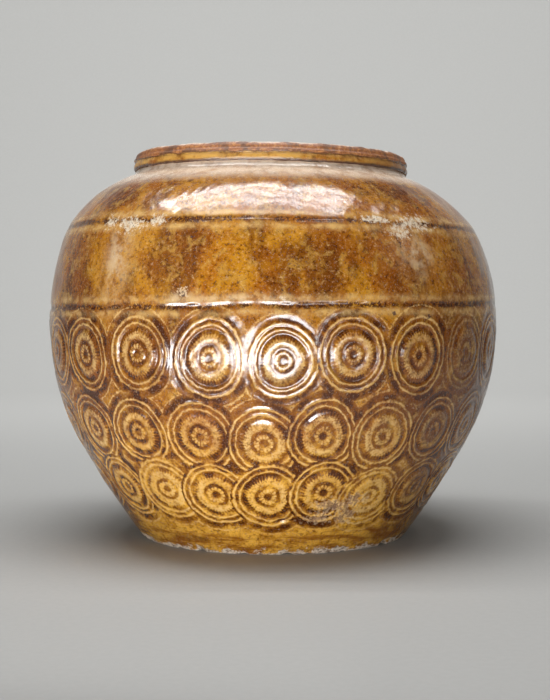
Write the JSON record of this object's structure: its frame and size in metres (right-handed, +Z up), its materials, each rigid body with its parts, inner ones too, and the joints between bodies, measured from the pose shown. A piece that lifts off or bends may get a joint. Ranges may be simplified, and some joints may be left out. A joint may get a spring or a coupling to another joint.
{
  "type": "martaban storage jar",
  "caption": "Squat wide-mouthed storage jar in amber-brown glazed stoneware, with a rolled lip, incised lines round the shoulder and rows of pressed roundels, for dry goods or liquids.",
  "frame": {"origin": "centre of the underside of the foot, where the jar stands", "axes": "+Z up along the axis that the jar was turned on; the side that the picture shows faces -Y, with +X to its right"},
  "size_m": [0.32, 0.32, 0.271],
  "materials": {
    "amber_glaze": "glossy mottled ash glaze, amber to brown, speckled",
    "lip_glaze": "glazed yellow-brown below, wiped to red-brown clay on top",
    "bare_clay": "unglazed, gritty and chipped at the foot",
    "inner_clay": "unglazed fired clay",
    "luting_slip": "fired slip in the joints"
  },
  "bodies": {
    "root": {"base_slab": "bare_clay", "base_corner_coil": "inner_clay", "foot_course": "amber_glaze", "middle_course": "amber_glaze", "belly_course": "amber_glaze", "band_course": "amber_glaze", "shoulder_course": "amber_glaze", "neck_collar": "amber_glaze", "lip_coil": "lip_glaze", "base_slip": "luting_slip", "foot_slip": "luting_slip", "middle_slip": "luting_slip", "belly_slip": "luting_slip", "shoulder_slip": "luting_slip", "neck_slip": "luting_slip", "lip_slip": "luting_slip"}
  },
  "joints": []
}
